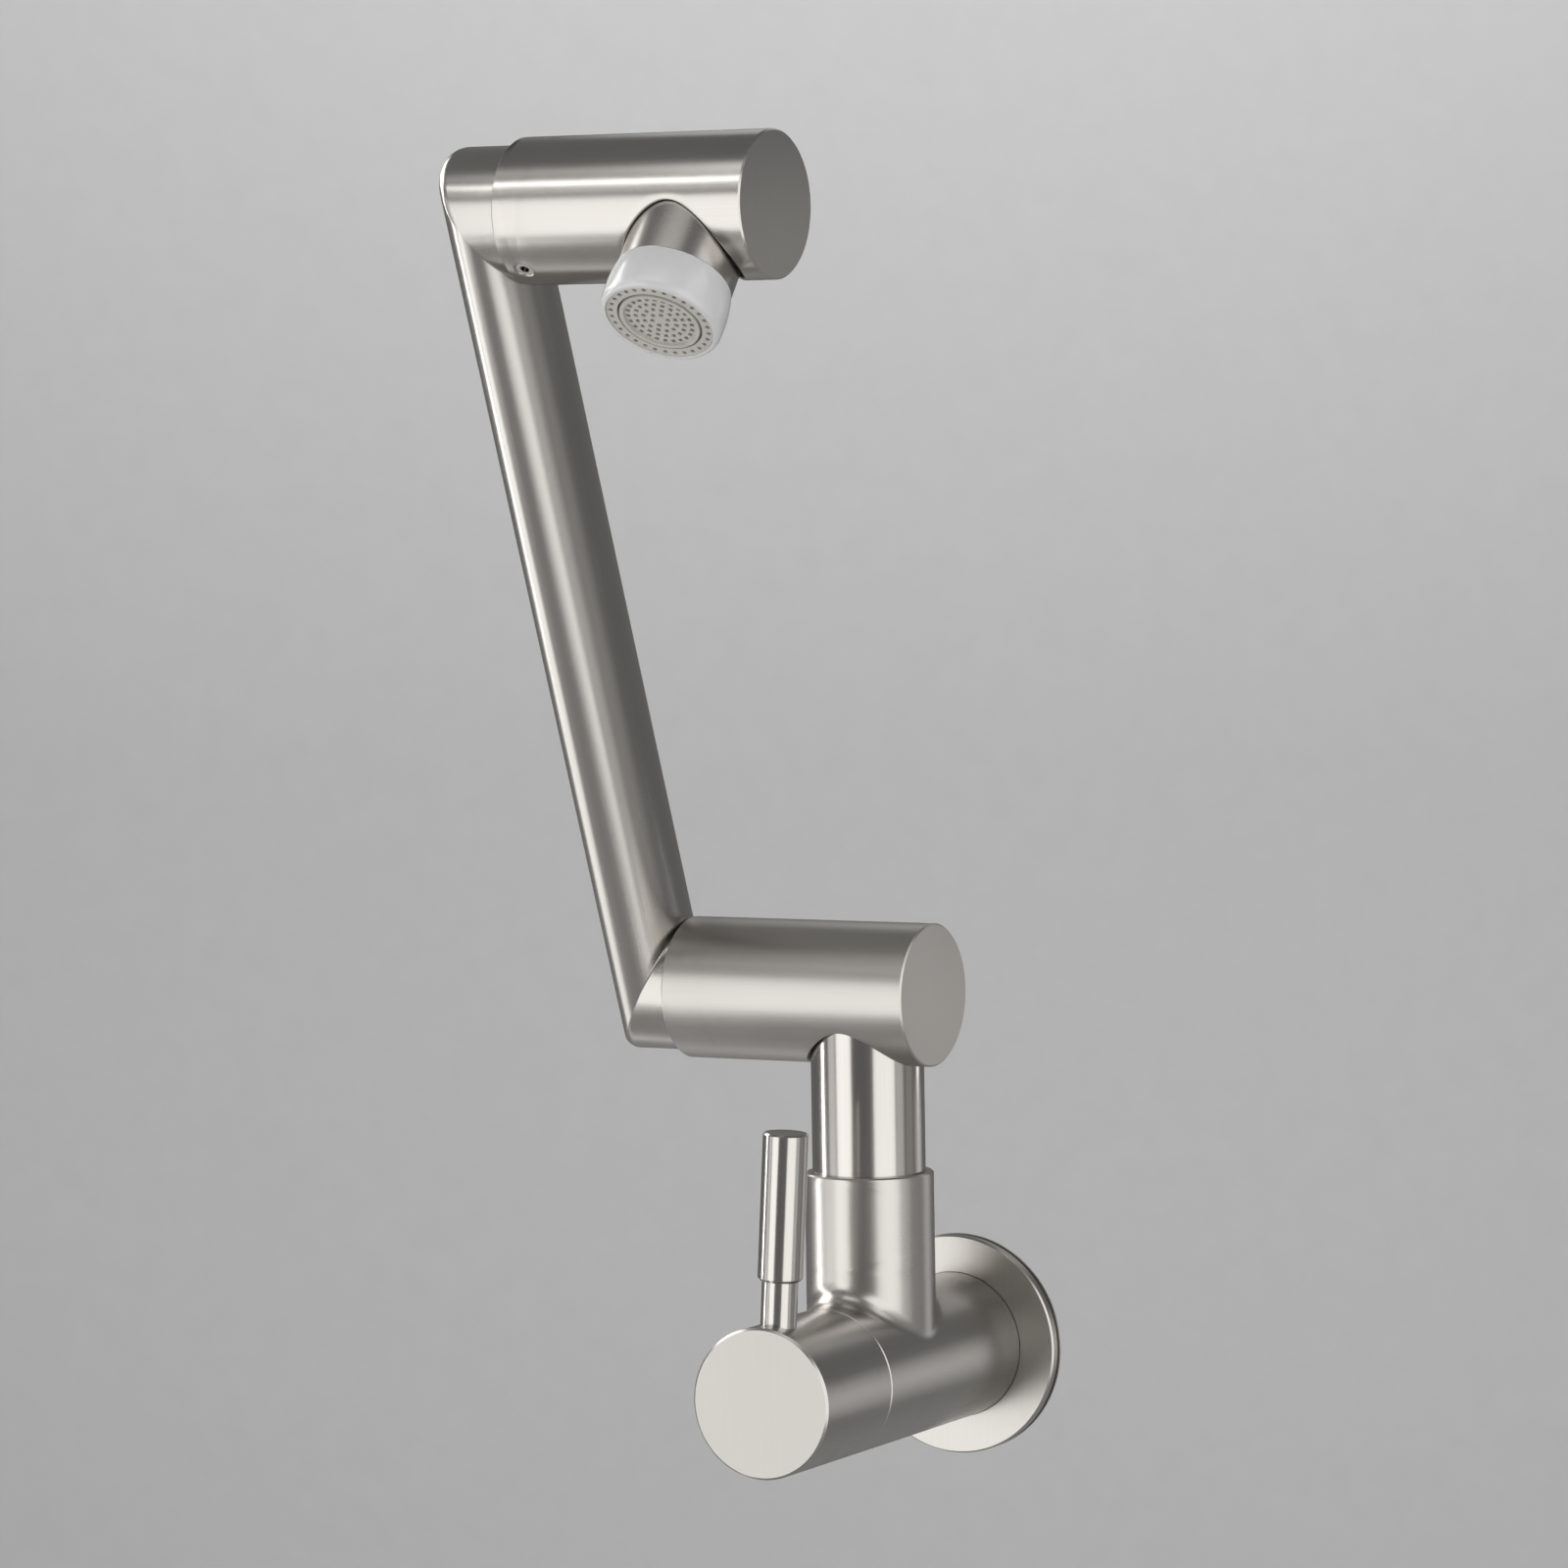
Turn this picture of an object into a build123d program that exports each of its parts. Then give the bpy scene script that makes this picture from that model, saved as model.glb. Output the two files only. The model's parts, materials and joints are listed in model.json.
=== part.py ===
"""Wall-mounted kitchen faucet: a valve on the wall, a swivelling riser, a folding arm and a turning head.

Millimetres, +Z up, +Y into the wall. The origin is where the inlet axis meets the wall plane.
Every piece is a separate solid, written to parts/NAME.step.
"""
import os
from math import cos, radians, sin, sqrt

from build123d import *

# Valve: lengths run out of the wall along the inlet axis
FLANGE_R = 25.2
FLANGE_T = 4.2
RIM_GROOVE_FROM = 0.9
RIM_GROOVE_TO = 2.1
RIM_GROOVE_DEPTH = 0.8
RIM_BEVEL = 0.35
GASKET_T = 1.2
GASKET_IN = 19.1
GASKET_OUT = 22.9
BODY_R = 16.7
BODY_FROM = 0.6
SEAM = 67.3
SEAM_GAP = 0.3
SEAM_BEVEL = 0.2
CAP_TO = 97.4
CAP_WALL = 2.6
CAP_ROOM = 2.5
CAP_BEVEL = 0.5
TEE_R = 14.5
TEE_OUT = 45.0
TEE_TOP = 44.9
TEE_BLEND = 5.0
TEE_WATERWAY = 8.5
TEE_WATERWAY_FROM = 8.0

# Inlet: G1/2 nipple, full size behind the wall and a little smaller inside the valve
NIPPLE_R = 10.48
NIPPLE_INNER_R = 10.3
NIPPLE_BORE = 5.5
NIPPLE_BEHIND = 14.0
NIPPLE_TO = 22.0
NIPPLE_HEX = 12.0
NIPPLE_HEX_DEPTH = 9.0
WATERWAY_R = 6.0
WASHER_T = 2.0
STRAINER_AT = 11.0
STRAINER_T = 1.0
STRAINER_HOLE = 0.6
STRAINER_RINGS = ((2.1, 6), (4.0, 12))

# Quarter-turn ceramic cartridge
SEAT = 36.5
SEAT_SEAL_T = 2.0
SEAT_SEAL_R = 8.8
SEAT_SEAL_BORE = 6.2
CARTRIDGE_BORE = 12.0
CARTRIDGE_R = 9.0
CARTRIDGE_HEAD = 52.0
CARTRIDGE_SEAL = 57.0
CHAMBER_R = 7.3
CHAMBER_TO = 55.0
WINDOW_T = 5.0
COLLAR_R = 13.0
COLLAR_T = 1.0
CARTRIDGE_HEX = 19.0
HEX_T = 4.0
FIXED_AT = 38.9
DISC_R = 6.95
DISC_T = 3.0
DISC_GAP = 0.03
PORT_IN = 1.8
PORT_OUT = 5.6
PORT_HALF_ANGLE = 40
DRIVER_T = 4.0
SPINDLE_R = 4.0
SPINDLE_TO = 83.0
SPINDLE_SEAL = 59.0
SPINDLE_DIMPLE = 0.9
CLIP_R = 5.6
CLIP_T = 0.8
CLIP_DEPTH = 0.7
CLIP_MOUTH = 3.0

# Lever on the handle: lengths run out from the inlet axis
LEVER_OUT = 90.3
LEVER_LEAN = 3.55
STUD_R = 3.0
STUD_FROM = 6.5
NECK_R = 4.0
NECK_FROM = 15.2
NECK_TO = 26.3
ROD_R = 5.0
ROD_TO = 58.9
ROD_STEP = 0.7
ROD_BEVEL = 0.4
HANDLE_GRUB_OUT = 79.0

# Riser and the two barrels
RISER_R = 12.7
RISER_BORE = 10.2
RISER_FROM = 22.5
RISER_SEALS = (25.0, 28.5)
RISER_WEAR = (38.0, 42.0)
RISER_LOCK_Z = 33.0
RISER_LOCK_ROOT = 11.4
BARREL_R = 16.0
BARREL_BORE = 13.0
BARREL_LEFT = -43.9
BARREL_RIGHT = 16.9
END_DISC_T = 2.5
REGISTER_T = 2.0
EDGE_BEVEL = 0.35
BRANCH_HOLE = 13.3
BRANCH_LIP = 0.4
LOWER_Z = 85.0

# Core inside each barrel, and the threaded shank of the tube that branches off it
CORE_R = 12.97
CORE_GAP = 0.2
CORE_BORE = 6.0
SHANK_R = 10.45
SHANK_BORE = 8.0
SHANK_FROM = 3.0
SHANK_TO = 16.0

# Folding arm: an oval tube that leans out from the wall
ARM_LENGTH = 187.0
ARM_LEAN = 21.1
ARM_HALF_X = 8.35
ARM_HALF_Y = 14.3
ARM_WALL = 1.6
ELBOW_ROUND = 3.0
ELBOW_STRIPS = (15, 30, 45, 60, 75)
ARM_GAP = 0.5
STUB_LAND = 0.02

# Hollow pivots between the arm and the barrels: places along the barrel's axis
SPIGOT_BORE = 8.5
SPIGOT_TO = -16.0
SPIGOT_SEALS = (-20.0, -24.0)
SPIGOT_WEAR = (-34.0, -29.0)
PIVOT_SCREW_X = -39.7
PIVOT_SCREW_ANGLE = 36.0
PIVOT_ROOT = 11.4

# Nozzle and aerator: lengths run from the upper barrel's axis
NOZZLE_X = -1.0
NOZZLE_ANGLE = 37.9
NOZZLE_HOLE_ANGLE = 34.5
NOZZLE_R = 12.6
NOZZLE_TO = 20.8
THREAD_R = 10.0
NOZZLE_GASKET_T = 1.2
INSERT_R = 8.6
SKIRT_R = 13.4
SKIRT_SWELL = 5.0
SKIRT_TURN = 1.2
SKIRT_DRAW = 0.25
LIP_R = 12.3
LIP_T = 0.4
FACE_AT = 31.4
FACE_SINK = 0.35
PLATE_T = 2.2
INTAKE_RING = 10.76
INTAKE_COUNT = 30
INTAKE_R = 0.52
FACE_RING_IN = 9.4
OUTLET_R = 8.85
OUTLET_SINK = 0.7
OUTLET_RIM = 0.85
OUTLET_RIM_SINK = 0.15
OUTLET_HOLE = 0.95
OUTLET_RINGS = ((7.1, 24), (5.4, 18), (3.65, 12), (1.9, 6))
SCREEN_T = 0.3
SCREENS_BACK = (1.4, 0.7)
REGULATOR_FROM = 18.0
REGULATOR_TO = 27.2
JET_RING = 5.0
JET_COUNT = 8
JET_R = 0.8

# Fits
RUN = 0.05
SNUG = 0.02
LOOSE = 0.1
SEAL_GAP = 0.02
SEAL_SECTION = 1.5
WEAR_T = 0.9
GRUB_R = 2.0
GRUB_DOG = 1.2
GRUB_SOCKET = 1.2
GRUB_SINK = 0.4
LOCK_WIDTH = 3.2
LOCK_GAP = 0.3

# Places that follow from the sizes
LEAN = radians(ARM_LEAN)
AIM = radians(NOZZLE_ANGLE)
HOLE_AIM = radians(NOZZLE_HOLE_ANGLE)
TILT = radians(LEVER_LEAN)
UPPER_Y = -TEE_OUT - ARM_LENGTH * sin(LEAN)
UPPER_Z = LOWER_Z + ARM_LENGTH * cos(LEAN)
ARM_X = BARREL_LEFT - ARM_GAP - ARM_HALF_X
STUB_TO = ARM_HALF_X + STUB_LAND
SPIGOT_FROM = ARM_X - 2
SPIGOT_FACE = ARM_X + STUB_TO
BARREL_WELD = BARREL_RIGHT - END_DISC_T
COLLAR_TO = SEAM + COLLAR_T
HEX_TO = COLLAR_TO + HEX_T
CAP_CAVITY_TO = HEX_TO + CAP_ROOM
MOVING_AT = FIXED_AT + DISC_T + DISC_GAP
DRIVER_TO = MOVING_AT + DISC_T + DRIVER_T
CLIP_AT = HEX_TO + 0.2
INSERT_FROM = SHANK_TO + NOZZLE_GASKET_T
PLATE_BACK = FACE_AT - PLATE_T

# Axes: each plane's normal runs along the axis that it is named after
INLET = Plane.XZ
RISER = Plane(origin=(0, -TEE_OUT, 0))
RISER_LOCK = Plane(origin=(0, -TEE_OUT, RISER_LOCK_Z), x_dir=(1, 0, 0), z_dir=(0, 1, 0))
RISER_BRANCH = Plane(origin=(0, -TEE_OUT, LOWER_Z), x_dir=(1, 0, 0), z_dir=(0, 0, -1))
LOWER = Plane(origin=(0, -TEE_OUT, LOWER_Z), x_dir=(0, 1, 0), z_dir=(1, 0, 0))
UPPER = Plane(origin=(0, UPPER_Y, UPPER_Z), x_dir=(0, 1, 0), z_dir=(1, 0, 0))
ARM = Plane(origin=(ARM_X, -TEE_OUT, LOWER_Z), x_dir=(1, 0, 0), z_dir=(0, -sin(LEAN), cos(LEAN)))
NOZZLE = Plane(origin=(NOZZLE_X, UPPER_Y, UPPER_Z), x_dir=(1, 0, 0), z_dir=(0, -sin(AIM), -cos(AIM)))
NOZZLE_HOLE = Plane(origin=NOZZLE.origin, x_dir=(1, 0, 0), z_dir=(0, -sin(HOLE_AIM), -cos(HOLE_AIM)))
ACROSS = (cos(TILT), 0, -sin(TILT))
LEVER = Plane(origin=(0, -LEVER_OUT, 0), x_dir=ACROSS, z_dir=(sin(TILT), 0, cos(TILT)))
HANDLE_GRUB = Plane(origin=(0, -HANDLE_GRUB_OUT, 0), x_dir=ACROSS, z_dir=(-sin(TILT), 0, -cos(TILT)))

BASE = (Align.CENTER, Align.CENTER, Align.MIN)


def rod(axis, radius, start, end):
    """A solid cylinder round an axis, from start to end along it."""
    return axis.offset(start) * Cylinder(radius, end - start, align=BASE)


def ring(axis, outer, inner, start, end):
    """A hollow cylinder round an axis."""
    return rod(axis, outer, start, end) - rod(axis, inner, start - 1, end + 1)


def hexagon(axis, across_flats, start, end):
    """A six-sided prism on an axis, given the distance across its flats."""
    return axis.offset(start) * extrude(RegularPolygon(across_flats / sqrt(3), 6), end - start)


def turned(axis, outline):
    """A solid of revolution from (radius, distance along the axis) points."""
    profile = make_face(Polyline(*[(r, 0, z) for r, z in outline], close=True))
    return axis * revolve(profile, Axis.Z)


def saddles(solid):
    """The curved edges where two round bodies of a solid meet."""
    return solid.edges().filter_by(lambda e: e.geom_type not in (GeomType.CIRCLE, GeomType.LINE))


def drilled(plate, axis, holes, start, end):
    """A plate with a sketch of holes cut through it, from start to end along the axis."""
    return plate - axis.offset(start) * extrude(holes, end - start)


def seal(axis, bore, at):
    """A rubber O-ring that reaches the bore round it."""
    return axis.offset(at) * Torus(bore - SEAL_GAP - SEAL_SECTION / 2, SEAL_SECTION / 2)


def seal_groove(axis, bore, at):
    """The cutter for an O-ring's groove in a shaft that runs in this bore."""
    root = bore - SEAL_GAP - SEAL_SECTION - 0.03
    half = SEAL_SECTION / 2 + 0.2
    return ring(axis, bore + 1, root, at - half, at + half)


def lock_groove(axis, root, at):
    """The cutter for the groove that a lock screw's point runs in."""
    return ring(axis, root + 5, root, at - LOCK_WIDTH / 2, at + LOCK_WIDTH / 2)


def grub_screw(axis, tip, shoulder, end):
    """A headless screw with a dog point and a hexagon socket in its outer end."""
    screw = rod(axis, GRUB_DOG, tip, shoulder) + rod(axis, GRUB_R, shoulder, end)
    return screw - hexagon(axis, GRUB_R, end - GRUB_SOCKET, end + 1)


def ports(start, outer):
    """Two opposite fan-shaped cutters through a ceramic disc that starts here."""
    reach = 2 * outer
    x = reach * cos(radians(PORT_HALF_ANGLE))
    y = reach * sin(radians(PORT_HALF_ANGLE))
    fan = extrude(Polygon((0, 0), (x, -y), (x, y), align=None), DISC_T + 2)
    wedges = INLET.offset(start - 1) * (fan + Rot(0, 0, 180) * fan)
    return ring(INLET, outer, PORT_IN, start - 1, start + DISC_T + 1) & wedges


# Valve on the wall
def make_wall_flange():
    hole = BODY_R + LOOSE
    groove_r = FLANGE_R - RIM_GROOVE_DEPTH
    outline = [
        (hole, 0), (FLANGE_R - RIM_BEVEL, 0), (FLANGE_R, RIM_BEVEL),
        (FLANGE_R, RIM_GROOVE_FROM), (groove_r, RIM_GROOVE_FROM),
        (groove_r, RIM_GROOVE_TO), (FLANGE_R, RIM_GROOVE_TO),
        (FLANGE_R, FLANGE_T - RIM_BEVEL), (FLANGE_R - RIM_BEVEL, FLANGE_T), (hole, FLANGE_T),
    ]
    return turned(INLET, outline) - ring(INLET, GASKET_OUT + LOOSE, GASKET_IN - LOOSE, -1, GASKET_T)


def make_flange_gasket():
    return ring(INLET, GASKET_OUT, GASKET_IN, 0, GASKET_T)


def make_valve_body():
    """Cylinder out of the wall with an upright socket, blended where the two meet."""
    body = rod(INLET, BODY_R, BODY_FROM, SEAM) + rod(RISER, TEE_R, 0, TEE_TOP)
    body = fillet(saddles(body), TEE_BLEND)
    body = chamfer(body.edges().sort_by(Axis.Z)[-1], EDGE_BEVEL)
    body = chamfer(body.edges().sort_by(Axis.Y)[0], SEAM_BEVEL)
    body -= rod(INLET, NIPPLE_INNER_R + SNUG, -1, NIPPLE_TO + WASHER_T)
    body -= rod(INLET, WATERWAY_R, 0, SEAT + 1)
    body -= rod(INLET, CARTRIDGE_BORE, SEAT, SEAM + 1)
    body -= rod(RISER, RISER_R + RUN, RISER_FROM - 0.5, TEE_TOP + 1)
    body -= rod(RISER, TEE_WATERWAY, TEE_WATERWAY_FROM, RISER_FROM)
    return body - rod(RISER_LOCK, GRUB_R + SNUG, 0, TEE_R + 1)


def make_inlet_nipple():
    nipple = rod(INLET, NIPPLE_R, -NIPPLE_BEHIND, 0) + rod(INLET, NIPPLE_INNER_R, 0, NIPPLE_TO)
    nipple -= rod(INLET, NIPPLE_BORE, -NIPPLE_BEHIND - 1, NIPPLE_TO + 1)
    return nipple - hexagon(INLET, NIPPLE_HEX, NIPPLE_TO - NIPPLE_HEX_DEPTH, NIPPLE_TO + 1)


def make_inlet_washer():
    return ring(INLET, NIPPLE_INNER_R - LOOSE, WATERWAY_R, NIPPLE_TO, NIPPLE_TO + WASHER_T)


def make_inlet_strainer():
    plate = rod(INLET, NIPPLE_BORE - RUN, STRAINER_AT, STRAINER_AT + STRAINER_T)
    holes = Sketch() + Circle(STRAINER_HOLE)
    for radius, count in STRAINER_RINGS:
        holes += PolarLocations(radius, count) * Circle(STRAINER_HOLE)
    return drilled(plate, INLET, holes, STRAINER_AT - 1, STRAINER_AT + STRAINER_T + 1)


def make_cartridge_body():
    body = rod(INLET, CARTRIDGE_R, SEAT + SEAT_SEAL_T, CHAMBER_TO)
    body += rod(INLET, CARTRIDGE_BORE - RUN, CARTRIDGE_HEAD, SEAM)
    body += rod(INLET, COLLAR_R, SEAM, COLLAR_TO)
    body += hexagon(INLET, CARTRIDGE_HEX, COLLAR_TO, HEX_TO)
    body -= rod(INLET, CHAMBER_R, SEAT, CHAMBER_TO)
    body -= rod(INLET, SPINDLE_R + RUN, CHAMBER_TO - 1, HEX_TO + 1)
    windows = INLET.offset(MOVING_AT) * Box(4 * CARTRIDGE_R, CARTRIDGE_R, WINDOW_T, align=BASE)
    return body - windows - seal_groove(INLET, CARTRIDGE_BORE, CARTRIDGE_SEAL)


def make_cartridge_seal():
    return ring(INLET, SEAT_SEAL_R, SEAT_SEAL_BORE, SEAT, SEAT + SEAT_SEAL_T)


def make_cartridge_o_ring():
    return seal(INLET, CARTRIDGE_BORE, CARTRIDGE_SEAL)


def make_fixed_disc():
    return rod(INLET, CHAMBER_R - LOOSE, FIXED_AT, FIXED_AT + DISC_T) - ports(FIXED_AT, PORT_OUT)


def make_riser_lock_screw():
    return grub_screw(RISER_LOCK, RISER_LOCK_ROOT + LOCK_GAP, RISER_R + LOOSE, TEE_R - GRUB_SINK)


# Handle
def make_handle_cap():
    cap = rod(INLET, BODY_R, SEAM + SEAM_GAP, CAP_TO)
    cap = chamfer(cap.edges().sort_by(Axis.Y)[0], CAP_BEVEL)
    cap = chamfer(cap.edges().sort_by(Axis.Y)[-1], SEAM_BEVEL)
    cap -= rod(INLET, BODY_R - CAP_WALL, SEAM, CAP_CAVITY_TO)
    cap -= rod(INLET, SPINDLE_R + SNUG, SEAM, SPINDLE_TO + 0.2)
    cap -= rod(LEVER, STUD_R, STUD_FROM - 0.5, NECK_TO)
    cap -= rod(LEVER, NECK_R + SNUG, NECK_FROM, NECK_TO)
    return cap - rod(HANDLE_GRUB, GRUB_R + SNUG, 0, NECK_TO)


def make_lever():
    stud = STUD_R - 0.05
    outline = [
        (0, STUD_FROM), (stud, STUD_FROM), (stud, NECK_FROM), (NECK_R, NECK_FROM), (NECK_R, NECK_TO),
        (ROD_R - ROD_STEP, NECK_TO), (ROD_R, NECK_TO + ROD_STEP),
        (ROD_R, ROD_TO - ROD_BEVEL), (ROD_R - ROD_BEVEL, ROD_TO), (0, ROD_TO),
    ]
    return turned(LEVER, outline)


def make_handle_grub_screw():
    return grub_screw(HANDLE_GRUB, SPINDLE_R - SPINDLE_DIMPLE, SPINDLE_R, BODY_R - 2 * GRUB_SINK)


def make_spindle():
    spindle = rod(INLET, DISC_R, MOVING_AT + DISC_T, DRIVER_TO)
    spindle += rod(INLET, SPINDLE_R, DRIVER_TO - 1, SPINDLE_TO)
    spindle -= seal_groove(INLET, SPINDLE_R + RUN, SPINDLE_SEAL)
    spindle -= ring(INLET, SPINDLE_R + 1, SPINDLE_R - CLIP_DEPTH, CLIP_AT, CLIP_AT + CLIP_T)
    return spindle - rod(HANDLE_GRUB, GRUB_DOG, SPINDLE_R - SPINDLE_DIMPLE, SPINDLE_R + 2)


def make_spindle_o_ring():
    return seal(INLET, SPINDLE_R + RUN, SPINDLE_SEAL)


def make_spindle_circlip():
    clip = ring(INLET, CLIP_R, SPINDLE_R - CLIP_DEPTH, CLIP_AT, CLIP_AT + CLIP_T)
    mouth = Box(CLIP_MOUTH, CLIP_R, CLIP_T + 2, align=BASE)
    return clip - INLET.offset(CLIP_AT - 1) * Pos(0, -CLIP_R, 0) * mouth


def make_moving_disc():
    return rod(INLET, DISC_R, MOVING_AT, MOVING_AT + DISC_T) - ports(MOVING_AT, DISC_R + 1)


# Riser with the lower barrel
def make_riser_tube():
    """Tube whose top is cut to the core's round side, on a threaded shank."""
    tube = ring(RISER, RISER_R, RISER_BORE, RISER_FROM, LOWER_Z)
    tube -= rod(LOWER, CORE_R + CORE_GAP, BARREL_LEFT, -BARREL_LEFT)
    tube += shank(RISER_BRANCH)
    for at in RISER_SEALS:
        tube -= seal_groove(RISER, RISER_R + RUN, at)
    tube -= lock_groove(RISER, RISER_LOCK_ROOT, RISER_LOCK_Z)
    return tube - ring(RISER, RISER_R + 1, RISER_R - WEAR_T, *RISER_WEAR)


def make_riser_o_rings():
    return [seal(RISER, RISER_R + RUN, at) for at in RISER_SEALS]


def make_riser_wear_ring():
    return ring(RISER, RISER_R + RUN - SEAL_GAP, RISER_R - WEAR_T, *RISER_WEAR)


def barrel(axis, branch, pivot):
    """Tube with a lipped hole for the branch and a tapped hole for the pivot screw."""
    tube = rod(axis, BARREL_R, BARREL_LEFT, BARREL_WELD)
    tube = chamfer(tube.edges().sort_by(Axis.X)[0], EDGE_BEVEL)
    tube -= rod(branch, BRANCH_HOLE, 0, 2 * BARREL_R)
    tube = fillet(saddles(tube), BRANCH_LIP)
    tube -= rod(axis, BARREL_BORE, BARREL_LEFT - 1, BARREL_RIGHT)
    return tube - rod(pivot, GRUB_R + SNUG, BARREL_BORE - 5, BARREL_R + 1)


def end_disc(axis):
    """End disc with a short register that centres it in the barrel's bore."""
    disc = rod(axis, BARREL_R, BARREL_WELD, BARREL_RIGHT)
    disc = chamfer(disc.edges().sort_by(Axis.X)[-1], EDGE_BEVEL)
    return disc + rod(axis, CORE_R, BARREL_WELD - REGISTER_T, BARREL_WELD)


def core(axis, branch):
    """Block inside a barrel that leads the water between its pivot and its branch."""
    block = rod(axis, CORE_R, SPIGOT_TO + 0.5, BARREL_WELD - REGISTER_T - LOOSE)
    block -= rod(axis, CORE_BORE, SPIGOT_TO, branch.origin.X)
    return block - rod(branch, SHANK_R + SNUG, SHANK_FROM - 0.5, BARREL_R)


def shank(branch):
    return ring(branch, SHANK_R, SHANK_BORE, SHANK_FROM, SHANK_TO)


def pivot_axis(barrel_axis, angle):
    """A radial axis for a pivot screw: the angle runs from straight down toward the room."""
    a = radians(angle)
    middle = barrel_axis.offset(PIVOT_SCREW_X).origin
    return Plane(origin=middle, x_dir=(1, 0, 0), z_dir=(0, -sin(a), -cos(a)))


LOWER_PIVOT = pivot_axis(LOWER, 180 + PIVOT_SCREW_ANGLE)
UPPER_PIVOT = pivot_axis(UPPER, PIVOT_SCREW_ANGLE)


def pivot_screw(axis):
    return grub_screw(axis, PIVOT_ROOT + LOCK_GAP, BARREL_BORE + LOOSE, BARREL_R - GRUB_SINK)


def make_lower_barrel():
    return barrel(LOWER, RISER_BRANCH, LOWER_PIVOT)


def make_lower_end_disc():
    return end_disc(LOWER)


def make_lower_core():
    return core(LOWER, RISER_BRANCH)


def make_lower_pivot_screw():
    return pivot_screw(LOWER_PIVOT)


# Folding arm
def elbowed_bar(half_x, half_y, stub_to):
    """An oval bar between two round stubs, mitred at both ends, in the arm's own frame.

    A mitre plane runs from the inner corner to the outer corner, so the oval and the round meet in
    one ellipse.
    """
    bar = Pos(0, 0, -2 * half_y) * extrude(Ellipse(half_x, half_y), ARM_LENGTH + 4 * half_y)
    stubs = []
    for z, slope in ((0, -half_x), (ARM_LENGTH, half_x)):
        mitre = Plane(origin=(0, 0, z), x_dir=(0, 1, 0), z_dir=(half_y, 0, slope))
        across = Plane(origin=(0, 0, z), x_dir=(0, 1, 0), z_dir=(1, 0, 0))
        bar = split(bar, mitre, keep=Keep.BOTTOM)
        stubs.append(split(rod(across, half_y, -2 * half_x, stub_to), mitre, keep=Keep.TOP))
    return bar + stubs[0] + stubs[1]


def rounded_elbows(bar):
    """The arm's outside with its two outer corners rounded off in narrow strips.

    Each strip is an oval cylinder that touches the rounding at one angle. All of them are as deep as
    the bar, so the rounding fades out toward the sides together with the corner.
    """
    size = 4 * ARM_HALF_Y
    for z, up in ((0, -1), (ARM_LENGTH, 1)):
        quadrant = Pos(-size / 2, 0, z + up * size / 2) * Box(size, size, size)
        corner = bar & quadrant
        for turn in ELBOW_STRIPS:
            t = radians(turn)
            reach = (ARM_HALF_X - ELBOW_ROUND) * cos(t) + (ARM_HALF_Y - ELBOW_ROUND) * sin(t) + ELBOW_ROUND
            along = Plane(origin=(0, 0, z), x_dir=(0, 1, 0), z_dir=(up * sin(t), 0, cos(t)))
            corner &= along * extrude(Ellipse(ARM_HALF_Y, reach), size, both=True)
        bar = bar - quadrant + corner
    return bar


def arm_waterway():
    """The space inside the arm's walls, as a solid that runs out of both stubs."""
    return ARM * elbowed_bar(ARM_HALF_X - ARM_WALL, ARM_HALF_Y - ARM_WALL, STUB_TO + 3)


def make_arm_tube():
    return ARM * rounded_elbows(elbowed_bar(ARM_HALF_X, ARM_HALF_Y, STUB_TO)) - arm_waterway()


def spigot(axis):
    """Hollow pivot: brazed into the arm's stub at one end, it turns in the barrel at the other."""
    shaft = rod(axis, BARREL_BORE - RUN, SPIGOT_FACE, SPIGOT_TO)
    for at in SPIGOT_SEALS:
        shaft -= seal_groove(axis, BARREL_BORE, at)
    shaft -= lock_groove(axis, PIVOT_ROOT, PIVOT_SCREW_X)
    shaft -= ring(axis, BARREL_BORE + 1, BARREL_BORE - RUN - WEAR_T, *SPIGOT_WEAR)
    root = rod(axis, ARM_HALF_Y - ARM_WALL, SPIGOT_FROM, SPIGOT_FACE) & arm_waterway()
    return shaft + root - rod(axis, SPIGOT_BORE, SPIGOT_FROM - 1, SPIGOT_TO + 1)


def wear_ring(axis):
    return ring(axis, BARREL_BORE - SEAL_GAP, BARREL_BORE - RUN - WEAR_T, *SPIGOT_WEAR)


def thrust_washer(axis):
    return ring(axis, ARM_HALF_Y - 0.3, BARREL_BORE + LOOSE, SPIGOT_FACE, BARREL_LEFT - SEAL_GAP)


def make_lower_spigot():
    return spigot(LOWER)


def make_upper_spigot():
    return spigot(UPPER)


def make_lower_spigot_o_rings():
    return [seal(LOWER, BARREL_BORE, at) for at in SPIGOT_SEALS]


def make_upper_spigot_o_rings():
    return [seal(UPPER, BARREL_BORE, at) for at in SPIGOT_SEALS]


def make_lower_wear_ring():
    return wear_ring(LOWER)


def make_upper_wear_ring():
    return wear_ring(UPPER)


def make_lower_thrust_washer():
    return thrust_washer(LOWER)


def make_upper_thrust_washer():
    return thrust_washer(UPPER)


# Head
def make_upper_barrel():
    """The hole is turned down a little, so the nozzle sits against its upper edge."""
    return barrel(UPPER, NOZZLE_HOLE, UPPER_PIVOT)


def make_upper_end_disc():
    return end_disc(UPPER)


def make_upper_pivot_screw():
    return pivot_screw(UPPER_PIVOT)


def make_upper_core():
    return core(UPPER, NOZZLE)


def make_nozzle_tube():
    """Shroud that is cut to the core's round side, on a threaded shank."""
    shroud = ring(NOZZLE, NOZZLE_R, THREAD_R, 0, NOZZLE_TO)
    shroud -= rod(UPPER, CORE_R + CORE_GAP, BARREL_LEFT, -BARREL_LEFT)
    return shroud + shank(NOZZLE)


def make_nozzle_gasket():
    return ring(NOZZLE, THREAD_R - LOOSE, SHANK_BORE - 1, SHANK_TO, INSERT_FROM)


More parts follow.
